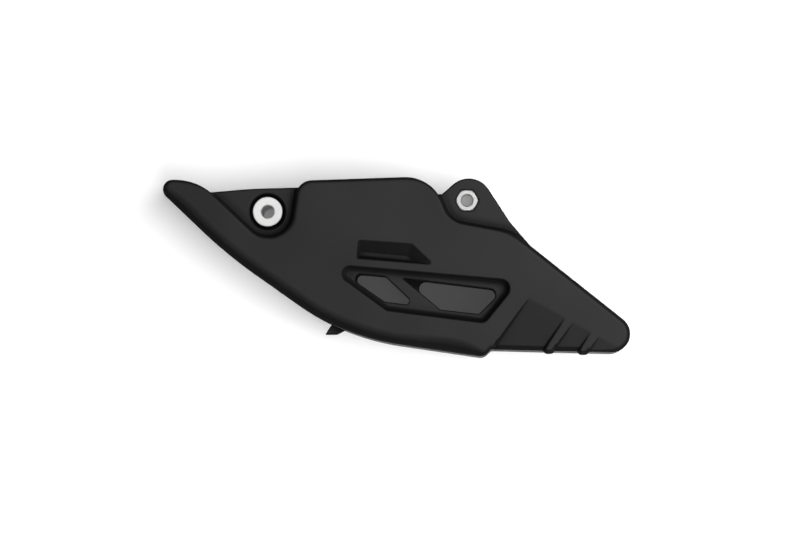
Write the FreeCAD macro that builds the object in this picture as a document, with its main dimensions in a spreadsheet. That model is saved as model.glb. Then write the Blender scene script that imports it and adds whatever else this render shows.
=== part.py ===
import FreeCAD, Part
import math
import os
import Sketcher

Vector = FreeCAD.Vector

# distance at which two places count as the same
TOUCH = 0.001

# Sizes in millimetres and degrees. The guide lies on its inner side: X runs rearward, Y runs up,
# Z runs out to the near face. Places are measured from the front bolt axis, and those of the rear
# half from the rear bolt axis.
SIZES = {
    # width across the guide and the walls either side of the chain
    "width": 40.0,
    "side_wall": 7.0,
    # rear bolt axis, from the front bolt axis
    "bolt_spacing": 99.2,
    "bolt_rise": 5.5,
    # side outline, front half
    "nose_tip_x": -59.4,
    "nose_tip_y": 16.0,
    "nose_tip_round": 4.8,
    "nose_top_x": -34.2,
    "nose_top_y": 15.3,
    "nose_top_round": 28.0,
    "notch_x": 9.2,
    "notch_y": -25.9,
    "notch_round": 12.4,
    "front_top_x": 15.3,
    "front_top_y": 15.1,
    "front_top_round": 8.0,
    "belly_x": 37.7,
    "belly_y": -62.1,
    "belly_round": 119.0,
    "chin_x": -21.2,
    "chin_y": -20.5,
    "chin_round": 209.0,
    # side outline, rear half
    "rear_top_x": -17.7,
    "rear_top_y": 11.8,
    "rear_top_round": 19.5,
    "step_bend_x": -8.4,
    "step_bend_y": -10.5,
    "step_bend_round": 12.0,
    "step_end_x": 23.4,
    "step_end_y": -16.4,
    "step_end_round": 29.7,
    "tail_x": 98.8,
    "tail_y": -76.4,
    "tail_round": 9.2,
    "heel_step_x": 12.1,
    "heel_step_y": -74.2,
    "heel_step_round": 1.6,
    "heel_x": 8.2,
    "heel_y": -77.9,
    "heel_round": 4.6,
    # rounding of the outer edges, which changes along the outline
    "top_edge_round": 2.0,
    "step_edge_round": 1.1,
    "nose_edge_round": 4.4,
    "belly_edge_round": 5.5,
    "heel_edge_round": 3.8,
    "tail_edge_round": 2.4,
    "far_edge_bevel": 1.2,
    # step down from the near face to the front flange and the rear tab
    "mount_step": 7.0,
    "mount_step_round": 2.0,
    "tab_thickness": 13.0,
    # front flange outline
    "flange_nose_x": -31.1,
    "flange_nose_y": 9.4,
    "flange_top_x": -8.7,
    "flange_top_y": 11.4,
    "flange_top_round": 200.0,
    "flange_rear_x": 19.1,
    "flange_rear_y": 12.1,
    "flange_root_y": -16.5,
    "flange_foot_x": -6.2,
    "flange_foot_y": -17.0,
    "flange_chin_x": -22.6,
    "flange_chin_y": -9.0,
    # rear tab outline
    "tab_root_x": -20.0,
    "tab_root_y": -3.4,
    "tab_valley_x": -11.0,
    "tab_valley_y": 3.15,
    "tab_top_x": 3.4,
    "tab_top_y": 16.9,
    "tab_top_round": 11.7,
    "tab_bend_x": 21.3,
    "tab_bend_y": -10.7,
    "tab_end_x": 32.0,
    "tab_flare_x": 52.0,
    "tab_flare_y": -18.0,
    "tab_tail_x": 37.0,
    "tab_tail_y": -37.0,
    "tab_foot_x": -8.5,
    "tab_foot_y": -24.5,
    # channel for the chain, in its own sloping frame
    "chain_slope": 6.0,
    "ceiling_drop": 18.4,
    "channel_height": 25.3,
    "channel_front": 45.0,
    "ramp_start": 64.9,
    "ramp_round": 25.0,
    "lip_x": 35.7,
    "lip_drop": 33.2,
    "lip_round": 5.0,
    "mouth_x": 30.6,
    "mouth_drop": 44.0,
    # lip under the front of the channel floor
    "fin_inset": 9.0,
    "fin_front_x": 27.7,
    "fin_front_round": 1.4,
    "fin_low_y": -60.9,
    "fin_heel_x": 34.3,
    "fin_heel_round": 2.5,
    "fin_rear_x": 40.5,
    "fin_rear_y": -57.6,
    "fin_root_x": 47.0,
    "fin_root_y": -50.0,
    # recessed frame round the windows
    "frame_depth": 3.6,
    "frame_wall_round": 3.4,
    "frame_left_x": 27.8,
    "frame_left_y": -26.3,
    "frame_left_round": 3.8,
    "frame_right_x": 124.7,
    "frame_right_y": -34.9,
    "frame_right_round": 4.6,
    "frame_heel_x": 107.9,
    "frame_heel_y": -55.6,
    "frame_heel_round": 4.2,
    "frame_low_x": 59.5,
    "frame_low_y": -49.4,
    "frame_low_round": 3.6,
    # front window
    "front_window_left_x": 37.1,
    "front_window_left_y": -30.4,
    "front_window_left_round": 2.5,
    "front_window_top_x": 58.4,
    "front_window_top_y": -32.4,
    "front_window_top_round": 1.5,
    "front_window_right_x": 73.7,
    "front_window_right_y": -46.9,
    "front_window_right_round": 1.7,
    "front_window_low_x": 58.0,
    "front_window_low_y": -44.9,
    "front_window_low_round": 1.0,
    # rear window
    "rear_window_left_x": 67.4,
    "rear_window_left_y": -33.4,
    "rear_window_left_round": 3.4,
    "rear_window_right_x": 116.8,
    "rear_window_right_y": -39.4,
    "rear_window_right_round": 3.0,
    "rear_window_heel_x": 105.1,
    "rear_window_heel_y": -51.1,
    "rear_window_heel_round": 2.0,
    "rear_window_low_x": 86.0,
    "rear_window_low_y": -48.9,
    "rear_window_low_round": 1.0,
    # rise of both windows in the far wall, against those in the near wall
    "far_window_rise": 0.9,
    # slash recess above the windows, with a long slope at its top and rear
    "slash_depth": 3.4,
    "slash_rim_round": 0.8,
    "slash_floor_round": 0.4,
    "slash_front_x": 45.5,
    "slash_front_y": -14.5,
    "slash_rear_x": 71.9,
    "slash_rear_y": -16.4,
    "slash_tip_x": 82.8,
    "slash_tip_y": -26.7,
    "slash_low_x": 44.6,
    "slash_low_y": -23.6,
    "slash_floor_front_x": 45.8,
    "slash_floor_top_y": -20.0,
    "slash_floor_low_y": -22.3,
    "slash_floor_rear_x": 69.6,
    "slash_floor_rear_y": -22.3,
    "slash_floor_tip_x": 72.6,
    "slash_floor_tip_y": -25.0,
    # tail panels, which fall away from a fold line and leave two raised strips
    "fold_x": 30.7,
    "fold_y": -48.9,
    "fold_angle": 29.0,
    "panel_slope": 5.5,
    "panel_reach": 35.0,
    "panel_shift": 3.5,
    "panel_one": 20.2,
    "strip_one": 4.8,
    "panel_two": 9.8,
    "strip_two": 4.8,
    "panel_cut": 10.0,
    "panel_draft": 20.0,
    # bevel along the bottom of the tail panels
    "bevel_slope": 48.0,
    "bevel_turn": 1.45,
    "bevel_rise": 2.55,
    "bevel_inset": 2.0,
    "bevel_drop": 2.85,
    "bevel_start": 2.4,
    "bevel_reach": 45.5,
    "bevel_half": 12.0,
    # feet where the strips run out past the bottom of the tail
    "foot_one_x": 37.9,
    "foot_one_low": -75.0,
    "foot_two_x": 55.0,
    "foot_two_low": -75.5,
    "foot_length": 3.8,
    "foot_lean": 4.2,
    "foot_root_y": -69.0,
    "foot_round": 1.0,
    "foot_depth": 4.0,
    # cored-out upper block, open at the inner side and stiffened by ribs
    "core_wall": 4.5,
    "core_corner_round": 2.0,
    "core_low_y": -15.6,
    "core_top_round": 15.0,
    "core_bend_round": 16.0,
    "core_end_round": 24.0,
    "core_tip_x": 37.0,
    "core_tip_y": -33.6,
    "core_tip_round": 1.5,
    "rib_half": 1.7,
    "rib_set_back": 1.5,
    "rib_bury": 1.5,
    "rib_low_y": -36.0,
    "rib_first_x": 37.0,
    "rib_second_x": 56.0,
    "rib_third_x": 74.5,
    "rib_fourth_x": -4.0,
    "rib_fifth_x": 14.5,
    # slot that cores out the nose
    "nose_core_front_x": -47.0,
    "nose_core_front_y": 10.2,
    "nose_core_top_x": -38.0,
    "nose_core_top_y": 10.0,
    "nose_core_rear_x": -19.5,
    "nose_core_rear_y": -8.0,
    "nose_core_low_x": -23.5,
    "nose_core_low_y": -12.2,
    # front sleeve
    "sleeve_bore_radius": 3.25,
    "sleeve_tube_radius": 5.0,
    "sleeve_flange_radius": 7.4,
    "sleeve_flange_thickness": 2.0,
    "sleeve_mouth": 0.45,
    "sleeve_edge": 0.3,
    "sleeve_clearance": 0.05,
    "sleeve_ring_gap": 1.5,
    "sleeve_ring_depth": 5.0,
    # rear nut and the hole for the bolt behind it
    "nut_half_flats": 5.0,
    "nut_height": 5.0,
    "nut_thread_radius": 3.0,
    "nut_mouth": 0.25,
    "nut_corner_cut": 0.6,
    "nut_corner_reach": 1.2,
    "nut_clearance": 0.05,
    "bolt_hole_radius": 3.3,
}


def value(text):
    """Number for a sum of named sizes."""
    total = 0.0
    sign = 1.0
    for word in text.split():
        if word in ("+", "-"):
            sign = 1.0 if word == "+" else -1.0
        else:
            total += sign * SIZES[word]
    return total


def formula(text):
    """Expression for the same sum, bound to the cells of the sheet."""
    words = [word if word in ("+", "-") else "Sizes." + word for word in text.split()]
    if words[0] == "-":
        words[0] = "0 -"
    return " ".join(words)


def front_corner(name):
    """Corner of an outline whose place is measured from the front bolt axis."""
    rounding = name + "_round"
    return (name + "_x", name + "_y", rounding if rounding in SIZES else None)


def rear_corner(name):
    """Corner of an outline whose place is measured from the rear bolt axis."""
    rounding = name + "_round"
    place = ("bolt_spacing + " + name + "_x", "bolt_rise + " + name + "_y")
    return place + (rounding if rounding in SIZES else None,)


def add_sheet(doc):
    sheet = doc.addObject("Spreadsheet::Sheet", "Sizes")
    for row, (name, number) in enumerate(SIZES.items(), start=1):
        sheet.set("A%d" % row, name)
        sheet.set("B%d" % row, str(number))
        sheet.setAlias("B%d" % row, name)
    doc.recompute()


def new_sketch(body, name, plane="XY_Plane", x=None, y=None, z=None, turn=None, pitch=None, tilt=None):
    """Sketch on an origin plane of its body, moved by named sizes."""
    sketch = body.newObject("Sketcher::SketchObject", name)
    support = [item for item in body.Origin.OriginFeatures if item.Role == plane][0]
    sketch.AttachmentSupport = [(support, "")]
    sketch.MapMode = "FlatFace"
    moves = [("Base.x", x), ("Base.y", y), ("Base.z", z)]
    moves += [("Rotation.Yaw", turn), ("Rotation.Pitch", pitch), ("Rotation.Roll", tilt)]
    for path, text in moves:
        if text:
            sketch.setExpression("AttachmentOffset." + path, formula(text))
    return sketch


def corner_geometry(points, radii):
    """Start, end and centre of the arc at each corner of a rounded polygon, and its turning sense."""
    arcs = []
    for index, here in enumerate(points):
        back = (points[index - 1] - here).normalize()
        ahead = (points[(index + 1) % len(points)] - here).normalize()
        half = back.getAngle(ahead) / 2.0
        cut = radii[index] / math.tan(half)
        bisector = (back + ahead).normalize()
        centre = here + bisector * (radii[index] / math.sin(half))
        arcs.append((here + back * cut, here + ahead * cut, centre, back.cross(ahead).z < 0))
    return arcs


def bind_place(sketch, geometry, point, x_text, y_text):
    """Fix a point by named distances from the sketch origin, or on an axis where none is named."""
    for kind, text, axis in (("DistanceX", x_text, -2), ("DistanceY", y_text, -1)):
        if text is None:
            sketch.addConstraint(Sketcher.Constraint("PointOnObject", geometry, point, axis))
            continue
        index = sketch.addConstraint(Sketcher.Constraint(kind, -1, 1, geometry, point, value(text)))
        sketch.setExpression("Constraints[%d]" % index, formula(text))


def draw_loop(sketch, corners):
    """Closed outline of straight sides with a rounding at each corner that names one."""
    points = [Vector(value(x) if x else 0, value(y) if y else 0, 0) for x, y, _ in corners]
    radii = [value(rounding) if rounding else 0.0 for _, _, rounding in corners]
    arcs = corner_geometry(points, radii)
    count = len(corners)
    sides = []
    for index in range(count):
        start = arcs[index][1]
        end = arcs[(index + 1) % count][0]
        sides.append(sketch.addGeometry(Part.LineSegment(start, end)))
    for index, (x_text, y_text, rounding) in enumerate(corners):
        before = sides[index - 1]
        after = sides[index]
        if not rounding:
            sketch.addConstraint(Sketcher.Constraint("Coincident", before, 2, after, 1))
            bind_place(sketch, after, 1, x_text, y_text)
            continue
        start, end, centre, turns_left = arcs[index]
        if not turns_left:
            start, end = end, start
        first = math.atan2(start.y - centre.y, start.x - centre.x)
        last = math.atan2(end.y - centre.y, end.x - centre.x)
        circle = Part.Circle(centre, Vector(0, 0, 1), radii[index])
        arc = sketch.addGeometry(Part.ArcOfCircle(circle, first, last))
        corner = sketch.addGeometry(Part.Point(points[index]), True)
        entry, leave = (1, 2) if turns_left else (2, 1)
        sketch.addConstraint([
            Sketcher.Constraint("Tangent", before, 2, arc, entry),
            Sketcher.Constraint("Tangent", arc, leave, after, 1),
            Sketcher.Constraint("PointOnObject", corner, 1, before),
            Sketcher.Constraint("PointOnObject", corner, 1, after),
        ])
        radius = sketch.addConstraint(Sketcher.Constraint("Radius", arc, radii[index]))
        sketch.setExpression("Constraints[%d]" % radius, formula(rounding))
        bind_place(sketch, corner, 1, x_text, y_text)
    return arcs


def draw_circle(sketch, x_text, y_text, radius_text):
    place = Vector(value(x_text) if x_text else 0, value(y_text) if y_text else 0, 0)
    circle = sketch.addGeometry(Part.Circle(place, Vector(0, 0, 1), value(radius_text)))
    radius = sketch.addConstraint(Sketcher.Constraint("Radius", circle, value(radius_text)))
    sketch.setExpression("Constraints[%d]" % radius, formula(radius_text))
    if x_text is None and y_text is None:
        sketch.addConstraint(Sketcher.Constraint("Coincident", circle, 3, -1, 1))
    else:
        bind_place(sketch, circle, 3, x_text, y_text)


def draw_hexagon(sketch, x_text, y_text, half_flats):
    """Regular hexagon with level flats, given by half the size across its flats."""
    centre = Vector(value(x_text) if x_text else 0, value(y_text) if y_text else 0, 0)
    reach = value(half_flats) / math.cos(math.radians(30.0))
    ring = sketch.addGeometry(Part.Circle(centre, Vector(0, 0, 1), reach), True)
    radius = sketch.addConstraint(Sketcher.Constraint("Radius", ring, reach))
    sketch.setExpression("Constraints[%d]" % radius, "(" + formula(half_flats) + ") / cos(30 deg)")
    if x_text is None and y_text is None:
        sketch.addConstraint(Sketcher.Constraint("Coincident", ring, 3, -1, 1))
    else:
        bind_place(sketch, ring, 3, x_text, y_text)
    points = []
    for step in range(6):
        angle = math.radians(60.0 * step)
        points.append(centre + Vector(math.cos(angle), math.sin(angle), 0) * reach)
    sides = [sketch.addGeometry(Part.LineSegment(points[i], points[(i + 1) % 6])) for i in range(6)]
    for index in range(6):
        sketch.addConstraint(Sketcher.Constraint("Coincident", sides[index - 1], 2, sides[index], 1))
        sketch.addConstraint(Sketcher.Constraint("PointOnObject", sides[index], 1, ring))
    for side in sides[1:]:
        sketch.addConstraint(Sketcher.Constraint("Equal", sides[0], side))
    sketch.addConstraint(Sketcher.Constraint("Horizontal", sides[1]))


def grow(body, kind, name, sketch, length, reverse=False):
    """Pad or pocket of a sketch by a named length."""
    before = 0.0 if body.Shape.isNull() else body.Shape.Volume
    feature = body.newObject("PartDesign::" + kind, name)
    feature.Profile = sketch
    feature.Reversed = reverse
    feature.setExpression("Length", length)
    body.Document.recompute()
    gained = feature.Shape.Volume > before
    if gained != (kind == "Pad"):
        raise RuntimeError(name + " runs the wrong way")
    return feature


def edge_names(shape, wanted):
    return ["Edge%d" % number for number, edge in enumerate(shape.Edges, start=1) if wanted(edge)]


def round_edges(body, name, base, edges, radius):
    feature = body.newObject("PartDesign::Fillet", name)
    feature.Base = (base, edges)
    feature.setExpression("Radius", formula(radius))
    body.Document.recompute()
    return feature


# corners of the side outline, with the rounding of the outer edge where each corner begins and ends
OUTLINE = [
    (front_corner("nose_tip"), "nose_edge_round", "top_edge_round"),
    (front_corner("nose_top"), "top_edge_round", "step_edge_round"),
    (front_corner("notch"), "step_edge_round", "top_edge_round"),
    (front_corner("front_top"), "top_edge_round", "top_edge_round"),
    (rear_corner("rear_top"), "top_edge_round", "step_edge_round"),
    (rear_corner("step_bend"), "step_edge_round", "step_edge_round"),
    (rear_corner("step_end"), "step_edge_round", "tail_edge_round"),
    (rear_corner("tail"), "tail_edge_round", "tail_edge_round"),
    (rear_corner("heel_step"), "tail_edge_round", "tail_edge_round"),
    (rear_corner("heel"), "tail_edge_round", "heel_edge_round"),
    (front_corner("belly"), "belly_edge_round", "belly_edge_round"),
    (front_corner("chin"), "belly_edge_round", "belly_edge_round"),
]


def make_blank(doc):
    """Full-width block of the side outline, with its outer edges rounded."""
    block = doc.addObject("PartDesign::Body", "Block")
    sketch = new_sketch(block, "side_outline")
    arcs = draw_loop(sketch, [corner for corner, _, _ in OUTLINE])
    grow(block, "Pad", "full_width", sketch, formula("width"))
    stations = []
    for (start, end, _, _), (_, first, last) in zip(arcs, OUTLINE):
        stations.append((start, SIZES[first]))
        stations.append((end, SIZES[last]))

    def station_of(vertex):
        flat = Vector(vertex.X, vertex.Y, 0)
        return min(range(len(stations)), key=lambda index: stations[index][0].distanceToPoint(flat))

    def roundings(edge):
        """Rounding at both ends of an edge, in the order of the outline."""
        first = station_of(edge.Vertexes[0])
        last = station_of(edge.Vertexes[-1])
        if (first + 1) % len(stations) != last:
            first, last = last, first
        return stations[first][1], stations[last][1]

    def level_edges(shape, height):
        for number, edge in enumerate(shape.Edges, start=1):
            if edge.BoundBox.ZLength < TOUCH and abs(edge.BoundBox.ZMin - height) < TOUCH:
                yield number, edge

    bevelled = doc.addObject("Part::Chamfer", "bevelled_block")
    bevelled.Base = block
    bevel = SIZES["far_edge_bevel"]
    bevelled.Edges = [(number, bevel, bevel) for number, _ in level_edges(block.Shape, 0.0)]
    doc.recompute()
    blank = doc.addObject("Part::Fillet", "rounded_block")
    blank.Base = bevelled
    near_edges = level_edges(bevelled.Shape, SIZES["width"])
    blank.Edges = [(number,) + roundings(edge) for number, edge in near_edges]
    doc.recompute()
    return blank


def trim_tab(body):
    """Cut that brings the rear edge of the tab down to the straight top of the tail."""
    trim = new_sketch(body, "tab_trim", z="width")
    bend = ("bolt_spacing + tab_bend_x", "bolt_rise + tab_bend_y")
    tail = ("bolt_spacing + tail_x", "bolt_rise + tail_y")
    root = ("bolt_spacing + step_end_x", "bolt_rise + step_end_y")
    away = (tail[0], "bolt_rise + tab_top_y")
    bend_at, tail_at, root_at, away_at = [
        Vector(value(x), value(y), 0) for x, y in (bend, tail, root, away)]
    share = (value("bolt_spacing + tab_end_x") - root_at.x) / (tail_at.x - root_at.x)
    end_at = root_at + (tail_at - root_at) * share
    loop = [bend_at, end_at, tail_at, away_at]
    sides = [trim.addGeometry(Part.LineSegment(loop[i], loop[(i + 1) % 4])) for i in range(4)]
    top_of_tail = trim.addGeometry(Part.LineSegment(root_at, tail_at), True)
    for index in range(4):
        trim.addConstraint(Sketcher.Constraint("Coincident", sides[index - 1], 2, sides[index], 1))
    bind_place(trim, sides[0], 1, *bend)
    bind_place(trim, sides[2], 1, *tail)
    bind_place(trim, sides[3], 1, *away)
    bind_place(trim, top_of_tail, 1, *root)
    trim.addConstraint(Sketcher.Constraint("Coincident", top_of_tail, 2, sides[2], 1))
    trim.addConstraint(Sketcher.Constraint("PointOnObject", sides[1], 1, top_of_tail))
    end = trim.addConstraint(Sketcher.Constraint("DistanceX", -1, 1, sides[1], 1, end_at.x))
    trim.setExpression("Constraints[%d]" % end, formula("bolt_spacing + tab_end_x"))
    grow(body, "Pocket", "tab_rear_edge", trim, formula("mount_step + tab_thickness"))


def make_mounts(body):
    """Front flange and rear tab, set back from the near face, with the step above each rounded."""
    flange = new_sketch(body, "flange_outline")
    draw_loop(flange, [
        front_corner("flange_nose"),
        front_corner("flange_top"),
        front_corner("flange_rear"),
        ("flange_rear_x", "flange_root_y", None),
        front_corner("flange_foot"),
        front_corner("flange_chin"),
    ])
    grow(body, "Pad", "front_flange", flange, formula("width - mount_step"))
    tab = new_sketch(body, "tab_outline", z="width - mount_step - tab_thickness")
    draw_loop(tab, [
        rear_corner("tab_root"),
        rear_corner("tab_top"),
        rear_corner("tab_bend"),
        rear_corner("tab_flare"),
        rear_corner("tab_tail"),
        rear_corner("tab_foot"),
    ])
    last = grow(body, "Pad", "rear_tab", tab, formula("tab_thickness"))
    level = value("width - mount_step")

    def is_step(edge):
        box = edge.BoundBox
        if box.ZLength > TOUCH or abs(box.ZMin - level) > TOUCH:
            return False
        middle = edge.valueAt((edge.FirstParameter + edge.LastParameter) / 2.0)
        return last.Shape.isInside(middle + Vector(0, 0, 1), TOUCH, True)

    round_edges(body, "step_rounding", last, edge_names(last.Shape, is_step), "mount_step_round")
    trim_tab(body)
    valley = new_sketch(body, "valley_outline", z="width - mount_step - tab_thickness")
    draw_loop(valley, [
        rear_corner("tab_root"),
        ("bolt_spacing + tab_root_x", "bolt_rise + tab_valley_y", None),
        rear_corner("tab_valley"),
    ])
    grow(body, "Pad", "tab_valley", valley, formula("tab_thickness"))


def cut_channel(body):
    """Lip under the floor, then the channel that the chain runs through."""
    fin = new_sketch(body, "fin_outline", z="side_wall + fin_inset")
    draw_loop(fin, [
        ("fin_front_x", "fin_low_y", "fin_front_round"),
        ("fin_heel_x", "fin_low_y", "fin_heel_round"),
        front_corner("fin_rear"),
        front_corner("fin_root"),
        ("fin_front_x", "fin_root_y", None),
    ])
    inside_width = "width - side_wall - side_wall"
    grow(body, "Pad", "floor_lip", fin, formula(inside_width + " - fin_inset - fin_inset"))
    channel = new_sketch(
        body, "channel_side", y="- ceiling_drop", z="width - side_wall", turn="- chain_slope")
    draw_loop(channel, [
        ("- channel_front", None, None),
        ("channel_front + bolt_spacing + tail_x", None, None),
        ("channel_front + bolt_spacing + tail_x", "- channel_height", None),
        ("ramp_start", "- channel_height", "ramp_round"),
        ("lip_x", "- lip_drop", "lip_round"),
        ("mouth_x", "- mouth_drop", None),
        ("- channel_front", "- mouth_drop", None),
    ])
    grow(body, "Pocket", "chain_channel", channel, formula(inside_width))


def cut_windows(body):
    """Recessed frame on the near face, with a front and a rear window through both walls."""
    frame = new_sketch(body, "frame_outline", z="width")
    draw_loop(frame, [front_corner("frame_" + end) for end in ("left", "right", "heel", "low")])
    recess = grow(body, "Pocket", "window_frame", frame, formula("frame_depth"))
    level = value("width - frame_depth")

    def on_floor(edge):
        return edge.BoundBox.ZLength < TOUCH and abs(edge.BoundBox.ZMin - level) < TOUCH

    round_edges(body, "frame_wall", recess, edge_names(recess.Shape, on_floor), "frame_wall_round")
    front_window = [front_corner("front_window_" + end) for end in ("left", "top", "right", "low")]
    rear_window = [front_corner("rear_window_" + end) for end in ("left", "right", "heel", "low")]
    sharp_window = [rear_window[0][:2] + (None,)] + rear_window[1:]
    near = new_sketch(body, "near_windows", z="width")
    draw_loop(near, front_window)
    draw_loop(near, sharp_window)
    grow(body, "Pocket", "near_window_cut", near, "Sizes.width / 2")
    far = new_sketch(body, "far_windows", y="far_window_rise")
    draw_loop(far, front_window)
    draw_loop(far, rear_window)
    grow(body, "Pocket", "far_window_cut", far, "Sizes.width / 2", reverse=True)


def cut_slash(body):
    """Slash-shaped recess whose floor is narrow, so that its top and rear walls slope."""
    rim = new_sketch(body, "slash_rim", z="width")
    rim_corners = [front_corner("slash_" + end)[:2] for end in ("front", "rear", "tip", "low")]
    draw_loop(rim, [place + ("slash_rim_round",) for place in rim_corners])
    floor = new_sketch(body, "slash_floor", z="width - slash_depth")
    draw_loop(floor, [
        ("slash_floor_front_x", "slash_floor_top_y", "slash_floor_round"),
        ("slash_floor_rear_x", "slash_floor_rear_y", "slash_floor_round"),
        ("slash_floor_tip_x", "slash_floor_tip_y", "slash_floor_round"),
        ("slash_floor_front_x", "slash_floor_low_y", "slash_floor_round"),
    ])
    slash = body.newObject("PartDesign::SubtractiveLoft", "slash_recess")
    slash.Profile = rim
    slash.Sections = [floor]
    slash.Ruled = True
    body.Document.recompute()


def shape_tail(body):
    """Panels that fall away below the fold line, and the feet of the strips between them."""
    panels = new_sketch(
        body, "tail_panels", x="bolt_spacing + fold_x", y="bolt_rise + fold_y", z="width",
        turn="- fold_angle", tilt="panel_slope")
    second = "panel_one + strip_one"
    third = second + " + panel_two + strip_two"
    spans = [(None, "panel_one"), (second, second + " + panel_two"), (third, third + " + panel_one")]
    for start, end in spans:
        low_start = start + " - panel_shift" if start else "- panel_shift"
        draw_loop(panels, [
            (start, None, None),
            (end, None, None),
            (end + " - panel_shift", "- panel_reach", None),
            (low_start, "- panel_reach", None),
        ])
    cut = grow(body, "Pocket", "tail_panel_cut", panels, formula("panel_cut"), reverse=True)
    cut.setExpression("TaperAngle", formula("panel_draft"))
    body.Document.recompute()
    bevel = new_sketch(
        body, "tail_bevel", x="bolt_spacing + heel_step_x", y="bolt_rise + heel_step_y + bevel_inset",
        z="width - bevel_drop", turn="- bevel_turn", pitch="- bevel_rise", tilt="bevel_slope")
    draw_loop(bevel, [
        ("bevel_start", "bevel_half", None),
        ("bevel_reach", "bevel_half", None),
        ("bevel_reach", "- bevel_half", None),
        ("bevel_start", "- bevel_half", None),
    ])
    grow(body, "Pocket", "tail_bevel_cut", bevel, formula("panel_cut"), reverse=True)
    feet = new_sketch(body, "strip_feet", z="width")
    for place, low in (("foot_one_x", "foot_one_low"), ("foot_two_x", "foot_two_low")):
        left = "bolt_spacing + " + place
        root = "bolt_rise + foot_root_y"
        bottom = "bolt_rise + " + low
        draw_loop(feet, [
            (left, bottom, "foot_round"),
            (left + " + foot_length", bottom, "foot_round"),
            (left + " + foot_length + foot_lean", root, None),
            (left + " + foot_lean", root, None),
        ])
    foot = grow(body, "Pad", "strip_foot", feet, formula("foot_depth"), reverse=True)
    foot.setExpression("TaperAngle", formula("panel_draft"))
    body.Document.recompute()


def cut_core(body):
    """Hollow behind the near wall of the upper block, with ribs across it, and a slot in the nose."""
    core = new_sketch(body, "core_outline")
    front = "front_top_x + core_wall"
    corners = [(front, "front_top_y - core_wall", "core_corner_round")]
    for end, rounding in (("rear_top", "top"), ("step_bend", "bend"), ("step_end", "end")):
        x, y, _ = rear_corner(end)
        corners.append((x + " - core_wall", y + " - core_wall", "core_" + rounding + "_round"))
    corners.append(rear_corner("core_tip"))
    corners.append((front, "core_low_y", "core_corner_round"))
    draw_loop(core, corners)
    nose_ends = [front_corner("nose_core_" + end)[:2] for end in ("front", "top", "rear", "low")]
    draw_loop(core, [place + ("core_corner_round",) for place in nose_ends])
    grow(body, "Pocket", "core_hollow", core, formula("width - side_wall"), reverse=True)
    ribs = new_sketch(body, "rib_outlines", z="rib_set_back")
    front_top = "front_top_y - rib_bury"
    places = [
        ("rib_first_x", front_top),
        ("rib_second_x", front_top),
        ("rib_third_x", front_top),
        ("bolt_spacing + rib_fourth_x", "bolt_rise + step_bend_y - rib_bury"),
        ("bolt_spacing + rib_fifth_x", "bolt_rise + step_end_y"),
    ]
    for middle, top in places:
        draw_loop(ribs, [
            (middle + " - rib_half", top, None),
            (middle + " + rib_half", top, None),
            (middle + " + rib_half", "rib_low_y", None),
            (middle + " - rib_half", "rib_low_y", None),
        ])
    grow(body, "Pad", "core_ribs", ribs, formula("width - side_wall"))


def fit_seats(body):
    """Stepped hole for the front sleeve, and the hexagon seat and bolt hole of the rear nut."""
    ring = new_sketch(body, "sleeve_ring", z="width - mount_step")
    draw_circle(ring, None, None, "sleeve_flange_radius")
    draw_circle(ring, None, None, "sleeve_flange_radius + sleeve_ring_gap")
    grow(body, "Pocket", "sleeve_groove", ring, formula("sleeve_ring_depth"))
    rest = new_sketch(body, "sleeve_rest", z="width - mount_step")
    draw_circle(rest, None, None, "sleeve_flange_radius")
    grow(body, "Pocket", "sleeve_recess", rest, formula("sleeve_flange_thickness"))
    tube = new_sketch(body, "sleeve_seat", z="width - mount_step")
    draw_circle(tube, None, None, "sleeve_tube_radius + sleeve_clearance")
    grow(body, "Pocket", "sleeve_hole", tube, formula("width"))
    seat = new_sketch(body, "nut_seat", z="width - mount_step")
    draw_hexagon(seat, "bolt_spacing", "bolt_rise", "nut_half_flats + nut_clearance")
    grow(body, "Pocket", "nut_pocket", seat, formula("nut_height"))
    hole = new_sketch(body, "bolt_hole", z="width - mount_step")
    draw_circle(hole, "bolt_spacing", "bolt_rise", "bolt_hole_radius")
    grow(body, "Pocket", "bolt_passage", hole, formula("tab_thickness"))


def make_guide(doc):
    body = doc.addObject("PartDesign::Body", "guide_body")
    body.BaseFeature = make_blank(doc)
    doc.recompute()
    make_mounts(body)
    cut_core(body)
    cut_channel(body)
    cut_windows(body)
    cut_slash(body)
    shape_tail(body)
    fit_seats(body)
    return body


def turn_about_axis(body, kind, name, sketch):
    """Revolution or groove of a sketch about the upright axis of its body."""
    feature = body.newObject("PartDesign::" + kind, name)
    feature.Profile = sketch
    feature.ReferenceAxis = (sketch, ["V_Axis"])
    feature.Angle = 360.0
    body.Document.recompute()


def make_sleeve(doc):
    """Flanged sleeve that the front bolt passes through."""
    body = doc.addObject("PartDesign::Body", "front_sleeve")
    section = new_sketch(body, "sleeve_section", "XZ_Plane")
    top = "width - mount_step"
    seat = top + " - sleeve_flange_thickness"
    mouth = "sleeve_bore_radius + sleeve_mouth"
    draw_loop(section, [
        ("sleeve_bore_radius", None, None),
        ("sleeve_tube_radius", None, None),
        ("sleeve_tube_radius", seat, None),
        ("sleeve_flange_radius", seat, None),
        ("sleeve_flange_radius", top + " - sleeve_edge", None),
        ("sleeve_flange_radius - sleeve_edge", top, None),
        (mouth, top, None),
        ("sleeve_bore_radius", top + " - sleeve_mouth", None),
    ])
    turn_about_axis(body, "Revolution", "sleeve_turned", section)
    return body


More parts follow.
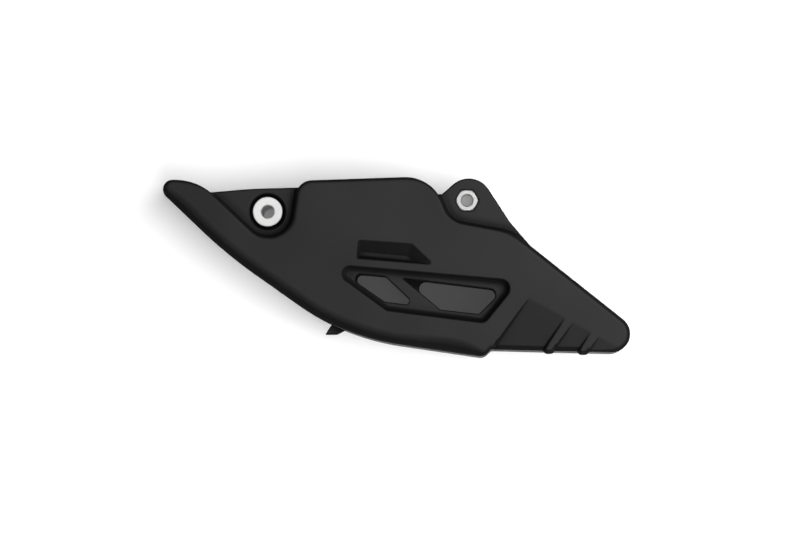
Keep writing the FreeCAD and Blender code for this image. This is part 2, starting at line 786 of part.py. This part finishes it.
def make_nut(doc):
    """Hexagon nut held in the rear tab, chamfered on its near side at the corners and the thread."""
    body = doc.addObject("PartDesign::Body", "rear_nut")
    flats = new_sketch(body, "nut_flats")
    draw_hexagon(flats, None, None, "nut_half_flats")
    draw_circle(flats, None, None, "nut_thread_radius")
    grow(body, "Pad", "nut_blank", flats, formula("nut_height"))
    chamfers = new_sketch(body, "nut_chamfers", "XZ_Plane")
    outer = "nut_half_flats + nut_corner_reach"
    draw_loop(chamfers, [
        ("nut_thread_radius", "nut_height", None),
        ("nut_thread_radius + nut_mouth", "nut_height", None),
        ("nut_thread_radius", "nut_height - nut_mouth", None),
    ])
    draw_loop(chamfers, [
        ("nut_half_flats", "nut_height", None),
        (outer, "nut_height", None),
        (outer, "nut_height - nut_corner_cut", None),
    ])
    turn_about_axis(body, "Groove", "nut_chamfered", chamfers)
    body.setExpression("Placement.Base.x", formula("bolt_spacing"))
    body.setExpression("Placement.Base.y", formula("bolt_rise"))
    body.setExpression("Placement.Base.z", formula("width - mount_step - nut_height"))
    doc.recompute()
    return body


def check(doc, parts):
    for item in doc.Objects:
        if "Invalid" in item.State or "Error" in item.State:
            raise RuntimeError(item.Name + " did not build")
    for part in parts:
        if part.Shape.isNull() or not part.Shape.isValid() or len(part.Shape.Solids) != 1:
            raise RuntimeError(part.Label + " is not one sound solid")


def main():
    doc = FreeCAD.newDocument("chain_guide")
    add_sheet(doc)
    parts = [make_guide(doc), make_sleeve(doc), make_nut(doc)]
    doc.recompute()
    check(doc, parts)
    os.makedirs("parts", exist_ok=True)
    for part in parts:
        part.Shape.exportStep("parts/" + part.Label + ".step")


main()
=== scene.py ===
import math

import bmesh
import bpy
from mathutils import Matrix, Vector


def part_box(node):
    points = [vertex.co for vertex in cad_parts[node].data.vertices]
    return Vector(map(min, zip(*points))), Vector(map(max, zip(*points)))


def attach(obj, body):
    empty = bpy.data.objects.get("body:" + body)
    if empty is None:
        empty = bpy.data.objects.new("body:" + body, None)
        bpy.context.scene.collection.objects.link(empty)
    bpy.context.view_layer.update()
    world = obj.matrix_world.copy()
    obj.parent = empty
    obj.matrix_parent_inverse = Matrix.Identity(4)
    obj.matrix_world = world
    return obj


# Lengths are in metres. The camera stands where the photograph was taken from.
IMAGE_WIDTH = 800
METRES_PER_PIXEL = 0.000497
SENSOR_WIDTH = 36.0
CLIP_END = 20.0
CAMERA_PLACE = Vector((0.0992, -0.1224, 2.083))
CAMERA_TARGET = Vector((0.0659, -0.0276, 0.033))

# lamps: a wide one for shade and shadow, a smaller one for gloss
LAMP_TARGET = Vector((0.09, -0.03, 0.02))
CEILING_PLACE = Vector((1.05, -0.32, 1.5))
CEILING_SIZE = 2.8
CEILING_POWER = 82.0
GLOSS_PLACE = Vector((0.55, 0.30, 2.0))
GLOSS_SIZE = 0.8
GLOSS_POWER = 7.8
# brightness of the sky by height, from the horizon to straight above
SKY = ((0.0, 0.30), (0.40, 0.26), (0.70, 0.12), (1.0, 0.12))

# stage: the tone of each sheet of paper, and the glow that lifts it to the eye
FLOOR_SIZE = 8.0
FLOOR_HEIGHT = -0.0004
FLOOR_TONE = 0.92
FLOOR_LIFT = 0.12
# painted shade: a dark card on the floor behind the windows, in place of the floor in shade seen
# through them
WINDOW_SHADE_CARD = ((0.040, -0.050), (0.118, -0.062), (0.118, -0.028), (0.040, -0.026))
WINDOW_SHADE_CARD_HEIGHT = -0.0002
WINDOW_SHADE_CARD_TONE = 0.04
WINDOW_SHADE_CARD_LIFT = 0.055
# painted shade: a grey disc just under the far end of the nut, in place of the floor in shade seen
# through its hole
NUT_SHADE_CARD_RADIUS = 0.0036
NUT_SHADE_CARD_SIDES = 24
NUT_SHADE_CARD_GAP = 0.0003
NUT_SHADE_CARD_TONE = 0.10
NUT_SHADE_CARD_LIFT = 0.23

# spans of values: all of them, and those that a noise texture mostly gives
UNIT = (0.0, 1.0)
NOISE_SPAN = (0.3, 0.7)
# samples of the nodes that look for edges and recesses
PROBE_SAMPLES = 8
WHITE = (1.0, 1.0, 1.0, 1.0)

# plastic: each noise has a scale and a detail, each relief a strength and a depth
PLASTIC_DARK = (0.0060, 0.0060, 0.0063)
PLASTIC_PALE = (0.0076, 0.0076, 0.0080)
PLASTIC_IOR = 1.45
PLASTIC_ROUGHNESS = (0.41, 0.46)
PLASTIC_CLOUD = (45.0, 3.0)
PLASTIC_WAVE = (18.0, 1.0)
PLASTIC_WAVE_RELIEF = (1.0, 0.0012)
PLASTIC_GRAIN = (2600.0, 2.0)
PLASTIC_GRAIN_RELIEF = (0.12, 0.00004)
PLASTIC_EDGE = 0.0013
# painted shade in a recess, by lowering the plastic's gloss: how far it looks for walls, and the
# openness for none and for all
RECESS_REACH = 0.006
RECESS_SPAN = (0.48, 0.93)
# painted shade along sharp edges: gloss at a sharp edge and away from it, by how alike the rounded
# and the plain normal are
EDGE_PAINTED_GLOSS = (0.05, 1.0)
EDGE_SPAN = (0.96, 0.998)
# painted shade on leaning faces: gloss by lean, from upright walls, over the rounded edges, to level
# faces
LEAN_PAINTED_GLOSS = ((0.0, 0.6), (0.015, 0.6), (0.06, 0.05), (0.85, 0.06), (0.94, 0.5), (0.99, 1.0))
# specular level, which carries the painted shade, and added roughness, with no gloss and with all of
# it
GLOSS_SPECULAR = (0.0, 0.5)
GLOSS_DULLNESS = (0.35, 0.0)

# metals: painted shade in a bore, and the openness between which it dims them
METAL_EDGE = 0.0003
BORE_SPAN = (0.45, 0.80)
SLEEVE_DARK = (0.90, 0.90, 0.89)
SLEEVE_PALE = (0.96, 0.96, 0.955)
SLEEVE_METALLIC = 0.74
SLEEVE_ROUGHNESS = (0.42, 0.55)
SLEEVE_GRAIN = (1800.0, 2.0)
SLEEVE_RINGS_SCALE = 900.0
SLEEVE_RINGS_DISTORTION = 1.5
SLEEVE_RINGS_RELIEF = (0.15, 0.00003)
SLEEVE_BORE_REACH = 0.004
SLEEVE_BORE_SHARE = (0.06, 1.0)
NUT_DARK = (0.72, 0.72, 0.71)
NUT_PALE = (0.82, 0.82, 0.81)
NUT_METALLIC = 0.9
NUT_ROUGHNESS = (0.38, 0.52)
NUT_GRAIN = (1500.0, 3.0)
NUT_GRAIN_RELIEF = (0.2, 0.00005)
NUT_BORE_REACH = 0.003
NUT_BORE_SHARE = (0.15, 1.0)

# thread: steps in one turn, turns over which the ridge rises, and the share of its width at its ends
THREAD_PITCH = 0.001
THREAD_DEPTH = 0.00025
THREAD_RADIUS = 0.003
THREAD_HALF_WIDTH = 0.00044
THREAD_BURY = 0.0001
THREAD_STEPS = 40
THREAD_RUN_IN = 0.25
THREAD_END_SHARE = 0.05


def new_material(name):
    """A material with an empty node tree and one principled shader."""
    material = bpy.data.materials.new(name)
    material.use_nodes = True
    tree = material.node_tree
    tree.nodes.clear()
    output = tree.nodes.new("ShaderNodeOutputMaterial")
    shader = tree.nodes.new("ShaderNodeBsdfPrincipled")
    tree.links.new(shader.outputs["BSDF"], output.inputs["Surface"])
    return material, tree, shader


def wire(tree, shader, sources):
    """Each source, linked to the shader's socket of its name."""
    for socket, source in sources.items():
        tree.links.new(source, shader.inputs[socket])


def object_coordinate(tree):
    """The object's own coordinate, in metres."""
    return tree.nodes.new("ShaderNodeTexCoord").outputs["Object"]


def noise(tree, coordinate, scale, detail):
    """A noise texture on the given coordinate."""
    node = tree.nodes.new("ShaderNodeTexNoise")
    node.inputs["Scale"].default_value = scale
    node.inputs["Detail"].default_value = detail
    tree.links.new(coordinate, node.inputs["Vector"])
    return node.outputs["Fac"]


def remap(tree, source, onto, across=NOISE_SPAN):
    """The source value, stretched from one span onto another."""
    node = tree.nodes.new("ShaderNodeMapRange")
    node.inputs["From Min"].default_value, node.inputs["From Max"].default_value = across
    node.inputs["To Min"].default_value, node.inputs["To Max"].default_value = onto
    tree.links.new(source, node.inputs["Value"])
    return node.outputs["Result"]


def ramp(tree, source, steps):
    """A colour that follows (source value, colour) steps."""
    node = tree.nodes.new("ShaderNodeValToRGB")
    elements = node.color_ramp.elements
    while len(elements) < len(steps):
        elements.new(0.5)
    for element, (position, colour) in zip(elements, steps):
        element.position = position
        element.color = (*colour, 1.0)
    tree.links.new(source, node.inputs["Fac"])
    return node.outputs["Color"]


def colours(tree, source, dark, pale):
    """A colour between two others, by a noise."""
    return ramp(tree, source, list(zip(NOISE_SPAN, (dark, pale))))


def grey_steps(tree, source, steps):
    """A grey that follows (source value, grey) steps."""
    return ramp(tree, source, [(position, (grey, grey, grey)) for position, grey in steps])


def bump(tree, height, relief, below):
    """A normal with a relief of some strength and depth, laid over another normal."""
    node = tree.nodes.new("ShaderNodeBump")
    node.inputs["Strength"].default_value, node.inputs["Distance"].default_value = relief
    tree.links.new(height, node.inputs["Height"])
    tree.links.new(below, node.inputs["Normal"])
    return node.outputs["Normal"]


def combine(tree, operation, first, second):
    """Two values, combined by one operation."""
    node = tree.nodes.new("ShaderNodeMath")
    node.operation = operation
    tree.links.new(first, node.inputs[0])
    tree.links.new(second, node.inputs[1])
    return node.outputs["Value"]


def soft_edges(tree, radius):
    """The surface normal, rounded over sharp edges."""
    node = tree.nodes.new("ShaderNodeBevel")
    node.samples = PROBE_SAMPLES
    node.inputs["Radius"].default_value = radius
    return node.outputs["Normal"]


def open_to_light(tree, reach):
    """How open a place is to the light: 1 on a plain face, less in a corner or a groove."""
    node = tree.nodes.new("ShaderNodeAmbientOcclusion")
    node.samples = PROBE_SAMPLES
    node.inputs["Distance"].default_value = reach
    return node.outputs["AO"]


def painted_edge_shade(tree, rounded):
    """Painted shade along sharp edges: all the gloss on a plain face, and less where the rounded
    normal turns over a sharp edge.
    """
    plain = tree.nodes.new("ShaderNodeNewGeometry")
    alike = tree.nodes.new("ShaderNodeVectorMath")
    alike.operation = "DOT_PRODUCT"
    tree.links.new(rounded, alike.inputs[0])
    tree.links.new(plain.outputs["Normal"], alike.inputs[1])
    return remap(tree, alike.outputs["Value"], EDGE_PAINTED_GLOSS, EDGE_SPAN)


def by_lean(tree, steps):
    """A grey by how far a face leans: 0 for an upright wall, 1 for a level face."""
    place = tree.nodes.new("ShaderNodeTexCoord")
    split = tree.nodes.new("ShaderNodeSeparateXYZ")
    tree.links.new(place.outputs["Normal"], split.inputs["Vector"])
    level = tree.nodes.new("ShaderNodeMath")
    level.operation = "ABSOLUTE"
    tree.links.new(split.outputs["Z"], level.inputs[0])
    return grey_steps(tree, level.outputs["Value"], steps)


def painted_gloss_shade(tree, rounded):
    """Painted shade in the gloss: the share of gloss that is left in a recess, near a sharp edge and
    on a leaning face.
    """
    share = remap(tree, open_to_light(tree, RECESS_REACH), UNIT, RECESS_SPAN)
    share = combine(tree, "MULTIPLY", share, painted_edge_shade(tree, rounded))
    return combine(tree, "MULTIPLY", share, by_lean(tree, LEAN_PAINTED_GLOSS))


def moulded_plastic():
    """Black moulded plastic: a fine satin grain on walls that wave a little."""
    material, tree, shader = new_material("moulded_plastic")
    place = object_coordinate(tree)
    cloud = noise(tree, place, *PLASTIC_CLOUD)
    wave = noise(tree, place, *PLASTIC_WAVE)
    grain = noise(tree, place, *PLASTIC_GRAIN)
    rounded = soft_edges(tree, PLASTIC_EDGE)
    waved = bump(tree, wave, PLASTIC_WAVE_RELIEF, rounded)
    # painted shade: the gloss is lowered in recesses, at sharp edges and on leaning faces
    gloss = painted_gloss_shade(tree, rounded)
    dullness = remap(tree, gloss, GLOSS_DULLNESS, UNIT)
    shader.inputs["IOR"].default_value = PLASTIC_IOR
    wire(tree, shader, {
        "Base Color": colours(tree, cloud, PLASTIC_DARK, PLASTIC_PALE),
        "Specular IOR Level": remap(tree, gloss, GLOSS_SPECULAR, UNIT),
        "Roughness": combine(tree, "ADD", remap(tree, cloud, PLASTIC_ROUGHNESS), dullness),
        "Normal": bump(tree, grain, PLASTIC_GRAIN_RELIEF, waved),
    })
    return material


def painted_bore_shade(tree, colour, reach, shares):
    """Painted shade: a colour, dimmed where a place is less open to the light."""
    node = tree.nodes.new("ShaderNodeVectorMath")
    node.operation = "SCALE"
    tree.links.new(colour, node.inputs[0])
    share = remap(tree, open_to_light(tree, reach), shares, BORE_SPAN)
    tree.links.new(share, node.inputs["Scale"])
    return node.outputs["Vector"]


def turned_metal():
    """Pale turned metal of the sleeve, with faint rings about the bolt axis."""
    material, tree, shader = new_material("turned_metal")
    place = object_coordinate(tree)
    rings = tree.nodes.new("ShaderNodeTexWave")
    rings.wave_type = "RINGS"
    rings.rings_direction = "Z"
    rings.inputs["Scale"].default_value = SLEEVE_RINGS_SCALE
    rings.inputs["Distortion"].default_value = SLEEVE_RINGS_DISTORTION
    tree.links.new(place, rings.inputs["Vector"])
    grain = noise(tree, place, *SLEEVE_GRAIN)
    colour = colours(tree, grain, SLEEVE_DARK, SLEEVE_PALE)
    rounded = soft_edges(tree, METAL_EDGE)
    shader.inputs["Metallic"].default_value = SLEEVE_METALLIC
    wire(tree, shader, {
        "Base Color": painted_bore_shade(tree, colour, SLEEVE_BORE_REACH, SLEEVE_BORE_SHARE),
        "Roughness": remap(tree, grain, SLEEVE_ROUGHNESS),
        "Normal": bump(tree, rings.outputs["Fac"], SLEEVE_RINGS_RELIEF, rounded),
    })
    return material


def plated_steel():
    """Plated steel of the nut."""
    material, tree, shader = new_material("plated_steel")
    grain = noise(tree, object_coordinate(tree), *NUT_GRAIN)
    colour = colours(tree, grain, NUT_DARK, NUT_PALE)
    rounded = soft_edges(tree, METAL_EDGE)
    shader.inputs["Metallic"].default_value = NUT_METALLIC
    wire(tree, shader, {
        "Base Color": painted_bore_shade(tree, colour, NUT_BORE_REACH, NUT_BORE_SHARE),
        "Roughness": remap(tree, grain, NUT_ROUGHNESS),
        "Normal": bump(tree, grain, NUT_GRAIN_RELIEF, rounded),
    })
    return material


def paper(name, tone, lift):
    """Matt paper with a glow that is seen, also in gloss, but lights nothing else."""
    material, tree, shader = new_material(name)
    shader.inputs["Base Color"].default_value = (tone, tone, tone, 1.0)
    shader.inputs["Roughness"].default_value = 1.0
    shader.inputs["Specular IOR Level"].default_value = 0.0
    shader.inputs["Emission Color"].default_value = WHITE
    path = tree.nodes.new("ShaderNodeLightPath")
    seen = path.outputs["Is Camera Ray"]
    for ray in ("Is Glossy Ray", "Is Transmission Ray"):
        seen = combine(tree, "MAXIMUM", seen, path.outputs[ray])
    wire(tree, shader, {"Emission Strength": remap(tree, seen, (0.0, lift), UNIT)})
    return material


def put_on(piece, material):
    """The piece wears one material."""
    piece.data.materials.clear()
    piece.data.materials.append(material)


def nut_box():
    """The lowest and the highest corner of the nut, and its middle."""
    low, high = [Vector(corner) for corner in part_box("rear_nut")]
    return low, high, (low + high) / 2


def on_circle(middle, radius, turn):
    """The x and y of a place on a circle, after a share of a full turn."""
    angle = 2 * math.pi * turn
    return middle.x + radius * math.cos(angle), middle.y + radius * math.sin(angle)


def lay_sheet(name, corners, height, material):
    """A flat sheet of the stage at a height."""
    mesh = bpy.data.meshes.new(name)
    mesh.from_pydata([(x, y, height) for x, y in corners], [], [range(len(corners))])
    sheet = bpy.data.objects.new(name, mesh)
    bpy.context.scene.collection.objects.link(sheet)
    put_on(sheet, material)


def make_floor():
    """A wide pale floor, and painted shade: a dark card on it behind the windows and a grey one
    under the nut, for the floor in shade seen through them.
    """
    half = FLOOR_SIZE / 2
    corners = ((-half, -half), (half, -half), (half, half), (-half, half))
    white = paper("white_paper", FLOOR_TONE, FLOOR_LIFT)
    lay_sheet("floor", corners, FLOOR_HEIGHT, white)
    # painted shade: a dark card where the floor seen through the windows lies in shade
    dark = paper("painted_shade_dark_card", WINDOW_SHADE_CARD_TONE, WINDOW_SHADE_CARD_LIFT)
    lay_sheet("window_shade_card", WINDOW_SHADE_CARD, WINDOW_SHADE_CARD_HEIGHT, dark)
    # painted shade: a grey disc where the floor seen through the nut's hole lies in shade
    low, _, middle = nut_box()
    turns = [side / NUT_SHADE_CARD_SIDES for side in range(NUT_SHADE_CARD_SIDES)]
    disc = [on_circle(middle, NUT_SHADE_CARD_RADIUS, turn) for turn in turns]
    grey = paper("painted_shade_grey_card", NUT_SHADE_CARD_TONE, NUT_SHADE_CARD_LIFT)
    lay_sheet("nut_shade_card", disc, low.z - NUT_SHADE_CARD_GAP, grey)


def looking(place, target):
    """The matrix of a camera or lamp that looks at a target, with +Y up in its picture."""
    back = (place - target).normalized()
    right = Vector((0.0, 1.0, 0.0)).cross(back).normalized()
    up = back.cross(right)
    turn = Matrix((right, up, back)).transposed().to_4x4()
    return Matrix.Translation(place) @ turn


def make_camera():
    """The camera at the photograph's viewing angle."""
    data = bpy.data.cameras.new("camera")
    data.sensor_width = SENSOR_WIDTH
    reach = (CAMERA_PLACE - CAMERA_TARGET).length
    data.lens = reach / METRES_PER_PIXEL * SENSOR_WIDTH / IMAGE_WIDTH
    data.clip_end = CLIP_END
    camera = bpy.data.objects.new("camera", data)
    camera.matrix_world = looking(CAMERA_PLACE, CAMERA_TARGET)
    bpy.context.scene.collection.objects.link(camera)
    bpy.context.scene.camera = camera


def add_lamp(name, place, size, power):
    """A round soft lamp that looks at the part."""
    data = bpy.data.lights.new(name, "AREA")
    data.shape = "DISK"
    data.size = size
    data.energy = power
    lamp = bpy.data.objects.new(name, data)
    lamp.matrix_world = looking(place, LAMP_TARGET)
    bpy.context.scene.collection.objects.link(lamp)
    return lamp


def make_sky():
    """A dim sky, paler towards the horizon."""
    world = bpy.data.worlds.new("studio")
    world.use_nodes = True
    tree = world.node_tree
    sky = tree.nodes["Background"]
    sky.inputs["Color"].default_value = WHITE
    place = tree.nodes.new("ShaderNodeTexCoord")
    split = tree.nodes.new("ShaderNodeSeparateXYZ")
    tree.links.new(place.outputs["Generated"], split.inputs["Vector"])
    wire(tree, sky, {"Strength": grey_steps(tree, split.outputs["Z"], SKY)})
    bpy.context.scene.world = world


def make_light():
    """A wide lamp that shows in no gloss, a smaller one that shows only in gloss, and the sky."""
    ceiling = add_lamp("soft_ceiling", CEILING_PLACE, CEILING_SIZE, CEILING_POWER)
    ceiling.visible_glossy = False
    gloss = add_lamp("gloss_lamp", GLOSS_PLACE, GLOSS_SIZE, GLOSS_POWER)
    gloss.visible_diffuse = False
    make_sky()


def thread_ridge():
    """The mesh of a helical ridge along the wall of the nut's hole, which rises and ends gently."""
    low, high, middle = nut_box()
    start = low.z + THREAD_PITCH / 2
    rise = high.z - low.z - THREAD_PITCH
    count = round(rise / THREAD_PITCH * THREAD_STEPS)
    run_in = THREAD_RUN_IN * THREAD_STEPS
    foot = THREAD_RADIUS + THREAD_BURY
    ridge = bmesh.new()
    rings = []
    for step in range(count + 1):
        height = start + rise * step / count
        fade = min(1.0, step / run_in, (count - step) / run_in)
        half = THREAD_HALF_WIDTH * max(fade, THREAD_END_SHARE)
        crest = THREAD_RADIUS - THREAD_DEPTH * fade
        ring = []
        for radius, shift in ((foot, -half), (crest, 0.0), (foot, half)):
            x, y = on_circle(middle, radius, step / THREAD_STEPS)
            ring.append(ridge.verts.new((x, y, height + shift)))
        rings.append(ring)
    for before, after in zip(rings, rings[1:]):
        for side in range(len(before)):
            other = (side + 1) % len(before)
            ridge.faces.new((before[side], before[other], after[other], after[side]))
    ridge.faces.new(rings[0])
    ridge.faces.new(reversed(rings[-1]))
    bmesh.ops.recalc_face_normals(ridge, faces=ridge.faces)
    mesh = bpy.data.meshes.new("nut_thread")
    ridge.to_mesh(mesh)
    ridge.free()
    return mesh


def add_thread(material):
    """The thread of the nut, which rides with the part."""
    thread = bpy.data.objects.new("nut_thread", thread_ridge())
    bpy.context.scene.collection.objects.link(thread)
    put_on(thread, material)
    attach(thread, "root")


def dress(nodes):
    """Materials of the three solids, and the thread of the nut."""
    steel = plated_steel()
    put_on(nodes["guide_body"], moulded_plastic())
    put_on(nodes["front_sleeve"], turned_metal())
    put_on(nodes["rear_nut"], steel)
    add_thread(steel)


bpy.context.scene.view_settings.view_transform = "Standard"
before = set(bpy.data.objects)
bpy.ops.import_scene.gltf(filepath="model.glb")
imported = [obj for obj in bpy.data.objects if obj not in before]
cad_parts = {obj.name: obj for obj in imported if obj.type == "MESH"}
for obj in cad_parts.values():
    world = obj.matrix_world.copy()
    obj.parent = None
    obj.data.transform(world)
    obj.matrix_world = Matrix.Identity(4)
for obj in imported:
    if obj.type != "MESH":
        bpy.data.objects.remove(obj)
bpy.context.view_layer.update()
dress(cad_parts)
make_floor()
make_camera()
make_light()
